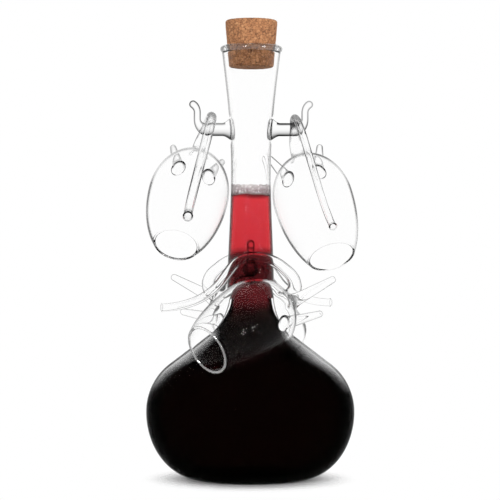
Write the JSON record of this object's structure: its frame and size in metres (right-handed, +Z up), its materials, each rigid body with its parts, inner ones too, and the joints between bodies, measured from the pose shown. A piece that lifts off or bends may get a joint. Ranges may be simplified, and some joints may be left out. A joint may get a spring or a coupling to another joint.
{
  "type": "port decanter",
  "caption": "Blown glass port decanter with a cork, filled with red port, and glass sippers that hang by their bent straws from hooks on its neck.",
  "frame": {"origin": "on the decanter's axis, in the plane of the foot that it stands on", "axes": "+Z up along the decanter's axis towards the cork; -Y is the front, where the hook of the lower front sipper points"},
  "size_m": [0.1296, 0.1754, 0.2806],
  "materials": {
    "clear_glass": "polished",
    "cork": "matte",
    "port": "gloss",
    "foam": "matte"
  },
  "bodies": {
    "decanter": {"decanter_body": "clear_glass", "decanter_neck": "clear_glass", "decanter_mouth": "clear_glass", "lip_ring": "clear_glass", "port_wine": "port", "wine_foam": "foam", "hook_left": "clear_glass", "hook_right": "clear_glass", "hook_front": "clear_glass", "hook_back": "clear_glass"},
    "cork": {"cork_stopper": "cork"},
    "sipper_left": {"sipper_left_bowl": "clear_glass", "sipper_left_mouth": "clear_glass", "sipper_left_straw": "clear_glass", "sipper_left_feet": "clear_glass"},
    "sipper_right": {"sipper_right_bowl": "clear_glass", "sipper_right_mouth": "clear_glass", "sipper_right_straw": "clear_glass", "sipper_right_feet": "clear_glass"},
    "sipper_front": {"sipper_front_bowl": "clear_glass", "sipper_front_mouth": "clear_glass", "sipper_front_straw": "clear_glass", "sipper_front_feet": "clear_glass"},
    "sipper_back": {"sipper_back_bowl": "clear_glass", "sipper_back_mouth": "clear_glass", "sipper_back_straw": "clear_glass", "sipper_back_feet": "clear_glass"}
  },
  "joints": [
    {"name": "cork_lift", "type": "slide", "parent": "decanter", "child": "cork", "axis": [0, 0, 1], "range_m": [0, 0.05]},
    {"name": "sipper_left_swing", "type": "hinge", "parent": "decanter", "child": "sipper_left", "pos_m": [0, 0, 0.2136], "axis": [1, 0, 0], "range_deg": [-25, 25]},
    {"name": "sipper_right_swing", "type": "hinge", "parent": "decanter", "child": "sipper_right", "pos_m": [0, 0, 0.2136], "axis": [1, 0, 0], "range_deg": [-25, 25]},
    {"name": "sipper_front_swing", "type": "hinge", "parent": "decanter", "child": "sipper_front", "pos_m": [0, 0, 0.128], "axis": [0, 1, 0], "range_deg": [-8, 16]},
    {"name": "sipper_back_swing", "type": "hinge", "parent": "decanter", "child": "sipper_back", "pos_m": [0, 0, 0.128], "axis": [0, -1, 0], "range_deg": [-8, 16]}
  ]
}
